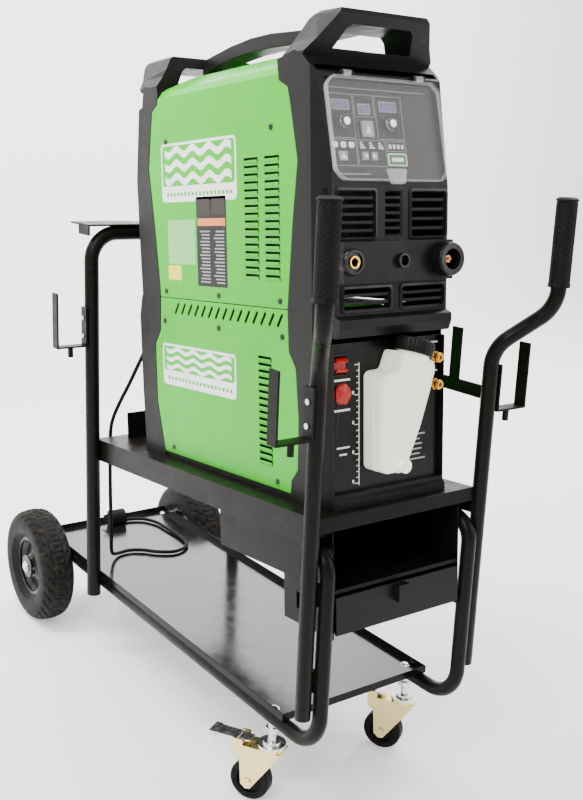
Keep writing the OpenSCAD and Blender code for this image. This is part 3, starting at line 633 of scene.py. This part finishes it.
def make_louvres():
    """Pressed hoods over the slots of both covers, open at the top."""
    bm = bmesh.new()
    for sign in (-1, 1):
        at = sign * HALF_W
        for s0, s1, top, pitch in SLOT_COLUMNS:
            for i in range(SLOT_ROWS):
                h = top - i * pitch
                low = h - 8
                hood = [(0, low - 2.6), (2, low), (2.3, h - 4.2), (1.5, h - 4), (1.2, low + 0.6),
                        (-0.4, low - 1.2)]
                outline = [(at + sign * out, z) for out, z in hood]
                rings = [[bm.verts.new((x, s, z)) for x, z in outline] for s in (s0, s1)]
                bm.faces.new(rings[0])
                bm.faces.new(rings[1][::-1])
                n = len(outline)
                for k in range(n):
                    j = (k + 1) % n
                    bm.faces.new((rings[0][k], rings[1][k], rings[1][j], rings[0][j]))
    piece("louvre_blades", bm, TILTED, GREEN, "cart", smooth=False)


make_louvres()


def make_slot_shade_sheets():
    """Near-black sheets inside both covers, behind their slots, clear of the inner parts: painted shade that
    keeps the openings dark.
    """
    bm = bmesh.new()
    for sign in (-1, 1):
        sheet = sorted((sign * 131, sign * 132))
        for s0, s1, h0, h1 in ((-296, -158, 934, 1182), (-262, -192, 616, 832), (-298, 112, 868, 900)):
            prism(bm, rect(s0, s1, h0, h1, 7), *sheet, "x")
    piece("slot_shade_sheets", bm, TILTED, RUBBER, "cart")


make_slot_shade_sheets()


# ---- control face ----
def make_panel_print():
    """Frames, displays, generic pictograms and a colour patch on the membrane."""
    bm = bmesh.new()
    top, face = 7.6, 8.0

    def plate(x0, x1, v0, v1, mat, up=0.0, radius=0.0):
        prism(bm, rect(x0, x1, v0, v1, radius), top - up, face - 0.05, "y", mat)

    def frame_line(x0, x1, v0, v1, wide=0.9):
        for a, b, c, d in ((x0, x1, v0, v0 + wide), (x0, x1, v1 - wide, v1),
                           (x0, x0 + wide, v0, v1), (x1 - wide, x1, v0, v1)):
            plate(a, b, c, d, 0)

    fields = ((-119, -62, 76, 149), (-60, -18, 112, 149), (-15, 44, 76, 149),
              (-119, -64, 30, 74), (-62, 0, 30, 74), (3, 44, 56, 74))
    displays = ((-108, -70, 122, 139), (-52, -26, 116, 134), (-6, 32, 122, 140))
    for edges in fields:
        frame_line(*edges)
    for x0, x1, v0, v1 in displays:
        plate(x0, x1, v0, v1, 0, 0.2, 2)
        plate(x0 + 2, x1 - 2, v0 + 2, v1 - 2, 1, 0.5)
    plate(-60, -19, 74, 109, 2, 0.1, 2)
    for k in range(3):
        plate(-114 + 17 * k, -102 + 17 * k, 60, 70, 3, 0.1, 4)
        for row, long in enumerate((11, 8, 5)):
            plate(-56 + 20 * k, -56 + 20 * k + long, 60 + 4 * row, 62.2 + 4 * row, 3, 0.1)
    for k in range(4):
        plate(7 + 9 * k, 12 + 9 * k, 61, 68, 3, 0.1)
    plate(2, 44, 32, 53, 3, 0.1, 3)
    plate(4, 42, 34, 51, 4, 0.25, 2)
    plate(10, 36, 39, 46, 3, 0.35, 2)
    plate(-108, 100, 158, 159, 0)
    plate(-100, -40, 16, 18, 0)
    piece("panel_print", bm, ON_FACE, [GREY, DISPLAY, GLOSS_BLACK, WHITE, GREEN_DARK], "cart")


make_panel_print()


def make_button_marks():
    """Plain arrows on the keys, each riding on its own key."""
    marks = {
        "up_button": [(-101, 41), (-89, 41), (-95, 51)],
        "left_button": [(-43.5, 43), (-43.5, 51), (-51, 47)],
        "right_button": [(-32.5, 43), (-25, 47), (-32.5, 51)],
        "select_button": [(-43, 84), (-33, 84), (-38, 99)],
    }
    fronts = {"select_button": 3.0}
    for key, outline in marks.items():
        bm = bmesh.new()
        front = fronts.get(key, 5.0)
        prism(bm, outline, front - 0.4, front + 0.1, "y")
        piece(f"{key}_mark", bm, ON_FACE, WHITE, key)


make_button_marks()


def make_lid():
    """Clear cover with cut corners, a raised rim, a pull tab and two knuckles."""
    def outline(inset):
        a, b, c, cut = 125 - inset, 4 + inset, 174 - inset, 16 - inset * 0.4
        return [(-a + cut, b), (a - cut, b), (a, b + cut), (a, c - cut), (a - cut, c), (-a + cut, c),
                (-a, c - cut), (-a, b + cut)]

    bm = bmesh.new()
    levels = [(1.5, -10), (0, -8.5), (0, -0.5), (2.5, -0.5), (3, -7.5)]
    rings = [[bm.verts.new((x, n, v)) for x, v in rounded(outline(inset), 5, 3)] for inset, n in levels]
    count = len(rings[0])
    for a, b in zip(rings, rings[1:]):
        for i in range(count):
            j = (i + 1) % count
            bm.faces.new((a[i], a[j], b[j], b[i])).material_index = 1
    bm.faces.new(rings[0])
    bm.faces.new(rings[-1])
    prism(bm, rounded([(-22, 22), (-15, -3), (15, -3), (22, 22)], 4), -14.5, -10.2, "y", 1)
    for sign in (-1, 1):
        prism(bm, rect(*sorted((sign * 72, sign * 86)), 172.6, 178), -9.5, -4.5, "y", 1)
        knuckle = [(-6 + 4.8 * math.cos(k * math.pi / 8), 179 + 4.8 * math.sin(k * math.pi / 8))
                   for k in range(16)]
        prism(bm, knuckle, *sorted((sign * 71.6, sign * 86.4)), "x", 1)
    piece("clear_cover", bm, ON_FACE, [CLEAR, CLEAR_EDGE], "lid", ["clear_lid"])


make_lid()


def make_knob_caps():
    """Fluted skirt and silver cap over each plain knob."""
    for key, x in (("current_knob", -87), ("pulse_knob", 12)):
        bm = bmesh.new()
        profile = [(0.01, 12.4), (6, 12.4), (7.4, 11.2), (7.4, 10.4), (10.6, 9.8), (11.5, 8.6), (11.5, 1),
                   (10.6, 0.2), (9, 0.2)]
        lathe(bm, profile, 72, ripple=lambda a, i: 0.35 * math.sin(a * 18) if i in (5, 6) else 0)
        piece(f"{key}_cap", bm, turned(ON_FACE, (x, 7.6, 101), (0, -1, 0)), SILVER, key)


make_knob_caps()


SOCKET_H = 993


def make_sockets():
    """Brass current socket in its black ring, and the pin and fluted ring of the torch connector."""
    bm = bmesh.new()
    lathe(bm, [(12, 0), (23, 0), (23, 18.8), (22, 23), (20, 25.5), (16, 25.5), (15, 22.5), (10.6, 22.5),
               (10.6, 0)], 64, closed=True)
    lathe(bm, [(7, 6), (7, 24.5), (7.8, 25.4), (10.2, 25.4), (10.5, 24.4), (10.5, 6)], 48, 1, closed=True)
    piece("current_socket", bm, turned(TILTED, (-103, FACE_N, SOCKET_H), (0, -1, 0)),
          [GLOSS_BLACK, BRASS], "cart", ["output_socket"])
    bm = bmesh.new()
    lathe(bm, [(0.01, 37), (2, 37), (3.6, 35.5), (3.6, 32.2), (6.2, 32.2), (6.2, 30)], 32)
    lathe(bm, [(27.4, 30.8), (28.6, 31.4), (28.6, 41), (27.4, 42.4), (26.6, 42.4), (26.6, 30.8)], 120, 1,
          closed=True, ripple=lambda a, i: 0.5 * math.sin(a * 30) if i in (1, 2) else 0)
    piece("torch_socket_detail", bm, turned(TILTED, (98, FACE_N, SOCKET_H), (0, -1, 0)),
          [COPPER, GLOSS_BLACK], "cart")


make_sockets()


# the four framed grilles of the front face: left, right, bottom, top
GRILLES = ((-122, -38, 1030, 1110), (38, 122, 1030, 1110), (-110, -4, 911, 950), (18, 120, 911, 950))


def make_grille_frames():
    """Raised rounded rims round the four framed grilles."""
    bm = bmesh.new()
    for x0, x1, h0, h1 in GRILLES:
        outer = rect(x0 - 3.5, x1 + 3.5, h0 - 3.5, h1 + 3.5, 9)
        inner = rect(x0 + 2.5, x1 - 2.5, h0 + 1.5, h1 - 1.5, 6)
        levels = ((outer, -416.5), (outer, -418.6), (inner, -419.6), (inner, -416.5))
        rings = [[bm.verts.new((x, n, h)) for x, h in line] for line, n in levels]
        for a, b in zip(rings, rings[1:] + rings[:1]):
            for i in range(len(a)):
                j = (i + 1) % len(a)
                bm.faces.new((a[i], a[j], b[j], b[i]))
    piece("grille_frames", bm, TILTED, GLOSS_BLACK, "cart", bevel=0.7)


make_grille_frames()


# ---- cooler front ----
PANEL_FACE = -402


def make_cooler_print():
    """Level scale, label bars and a block of plain bars on the cooler panel."""
    bm = bmesh.new()
    scale_x, scale_h = -63, 610

    def plate(x0, x1, h0, h1, mat=0, radius=0.0):
        prism(bm, rect(x0, x1, h0, h1, radius), PANEL_FACE - 0.35, PANEL_FACE, "y", mat)

    plate(scale_x, scale_x + 1.4, scale_h - 3, scale_h + 212)
    for k in range(21):
        long = 9 if k % 5 == 0 else 5
        h = scale_h + k * 10.4
        plate(scale_x - long, scale_x, h, h + 1.4)
    for h in (795, 743):
        plate(-121, -82, h - 2, h + 1.6)
    for k in range(4):
        plate(-77, -73.4, 612 + k * 52, 618 + k * 52, 0, 1.5)
    plate(-111, -83, 676, 679)
    plate(-105, -89, 664, 667)
    for k in range(9):
        plate(48, 92 - 14 * abs(math.sin(k * 1.9)), 634 + k * 9, 637 + k * 9, 1)
    for h in (844, 792):
        plate(98, 120, h - 1, h + 1.6)
    piece("cooler_print", bm, TILTED, [WHITE, GREY], "cart")


def make_flow_knob():
    """Lobed cap over the flow indicator."""
    bm = bmesh.new()
    lathe(bm, [(0.01, 15), (6, 15), (8, 13.5), (14, 12.4), (16.6, 11), (17.4, 8.4), (17.4, 8)], 60,
          ripple=lambda a, i: 1.6 * math.cos(a * 5) if i in (3, 4, 5, 6) else 0)
    piece("flow_knob_star", bm, turned(TILTED, (-100, -396, 771), (0, -1, 0)), RED, "cart")


def make_rocker_frame():
    """Moulded frame round the rocker switch, two posts and two bars."""
    bm = bmesh.new()
    for x0, x1, h0, h1 in ((-122.5, -118.5, 801, 839), (-91.5, -87.5, 801, 839),
                           (-118.5, -91.5, 801, 804.6), (-118.5, -91.5, 835.4, 839)):
        prism(bm, rect(x0, x1, h0, h1), PANEL_FACE - 2.6, PANEL_FACE, "y")
    piece("rocker_frame", bm, TILTED, GLOSS_BLACK, "cart", bevel=0.8)


make_cooler_print()
make_flow_knob()
make_rocker_frame()


NECK_LEAN = math.radians(18)
NECK = turned(TILTED, (26, -440, 831), (math.sin(NECK_LEAN), 0, math.cos(NECK_LEAN)))
TANK_FRONT = PANEL_FACE - 60


def tank_outline(grow=0.0):
    points = [(-55, 640), (-55, 801), (-48, 807), (-22, 808), (-14, 828), (-8, 842), (58, 820.5), (62, 806),
              (48, 763), (29, 711), (-4, 640), (-10, 634), (-48, 634)]
    return rounded([(x + math.copysign(grow, x), h) for x, h in points], 7, 4)


def make_tank():
    """Blow-moulded filler tank with soft corners, a parting seam, its neck ring and a drain cock."""
    bm = bmesh.new()
    prism(bm, tank_outline(), TANK_FRONT, PANEL_FACE, "y")
    tank = piece("filler_tank", bm, TILTED, TANK, "cart", ["coolant_tank"], bevel=11)
    tank.modifiers["edge"].segments = 6
    bm = bmesh.new()
    seam = (TANK_FRONT + PANEL_FACE) / 2
    prism(bm, tank_outline(0.9), seam - 0.6, seam + 0.6, "y")
    piece("tank_seam", bm, TILTED, TANK, "cart")
    bm = bmesh.new()
    lathe(bm, [(20.2, -6), (24, -6), (24, 15), (20.2, 15)], 64, closed=True)
    lathe(bm, [(24, -1), (28.5, -1), (28.5, 2.2), (24, 2.2)], 64, closed=True)
    piece("tank_neck", bm, NECK, TANK, "cart")
    bm = bmesh.new()
    lathe(bm, [(0.01, 6), (7.6, 6), (8, 22), (10, 22.6), (12, 21), (12, 4), (14.5, 2), (14.5, -2)], 48)
    piece("drain_cock", bm, turned(TILTED, (-22, -459, 648), (0, -1, 0)), TANK, "cart")


def make_cap():
    """Ribbed screw cap with a stepped top."""
    bm = bmesh.new()
    profile = [(24.6, 17), (24.6, 3.2), (33, 3.2), (34, 5), (34, 22), (32.5, 26.2), (29, 28), (25, 28),
               (24, 26.6), (10, 26.6), (9, 27.6), (0.01, 27.6)]
    lathe(bm, profile, 180, ripple=lambda a, i: -0.9 if i in (3, 4) and math.sin(a * 36) < 0 else 0)
    piece("ribbed_cap", bm, NECK, PLASTIC, "cap", ["tank_cap"])


make_tank()
make_cap()


# ---- floor and light, in metres ----
STAGE_HALF = 11.0
STAGE_RISE = 7.0
STAGE_BEND_Y = 3.0
STAGE_BEND_R = 1.2


def make_stage():
    """Pale paper that lies on the floor and curves up behind the part."""
    bm = bmesh.new()
    rows = [(-STAGE_HALF, 0.0)]
    for k in range(9):
        angle = k * math.pi / 16
        along, up = STAGE_BEND_R * math.sin(angle), STAGE_BEND_R * math.cos(angle)
        rows.append((STAGE_BEND_Y + along, STAGE_BEND_R - up))
    rows.append((STAGE_BEND_Y + STAGE_BEND_R, STAGE_RISE))
    rings = [[bm.verts.new((x, y, z)) for x in (-STAGE_HALF, STAGE_HALF)] for y, z in rows]
    for a, b in zip(rings, rings[1:]):
        bm.faces.new((a[0], a[1], b[1], b[0])).smooth = True
    mesh = bpy.data.meshes.new("studio_floor")
    bm.to_mesh(mesh)
    bm.free()
    paper = material("studio_paper", (0.9, 0.9, 0.89), 0.7, vary=0.01, bump=0.00005, shine=0.2)
    glow(paper, (1, 1, 1, 1), 0.45)
    mesh.materials.append(paper)
    floor = bpy.data.objects.new("studio_floor", mesh)
    bpy.context.scene.collection.objects.link(floor)


def area_light(name, place, target, size, power, colour=(1, 1, 1)):
    data = bpy.data.lights.new(name, "AREA")
    data.shape = "RECTANGLE"
    data.size, data.size_y = size
    data.energy = power
    data.color = colour
    lamp = bpy.data.objects.new(name, data)
    lamp.location = place
    lamp.rotation_euler = (Vector(target) - Vector(place)).to_track_quat("-Z", "Y").to_euler()
    bpy.context.scene.collection.objects.link(lamp)


def make_world():
    """Even, slightly cool light from all round."""
    world = bpy.data.worlds.new("studio")
    world.use_nodes = True
    background = world.node_tree.nodes["Background"]
    background.inputs["Color"].default_value = (0.95, 0.96, 1.0, 1)
    background.inputs["Strength"].default_value = 0.65
    bpy.context.scene.world = world


make_stage()
area_light("key", (-2.6, -1.6, 3.0), (0, 0, 0.8), (1.6, 1.6), 120)
area_light("fill", (2.2, -2.6, 1.9), (0, 0, 0.8), (1.6, 2.0), 55, (1, 0.97, 0.93))
area_light("top", (0.2, 0.6, 3.2), (0, 0.1, 0.6), (2.4, 1.2), 60)
area_light("backdrop_left", (-1.6, 0.6, 3.4), (1.4, 4.2, 1.4), (2.4, 1.0), 260)
area_light("backdrop_right", (3.4, 0.8, 3.4), (2.4, 4.2, 1.2), (2.4, 1.0), 260)
make_world()
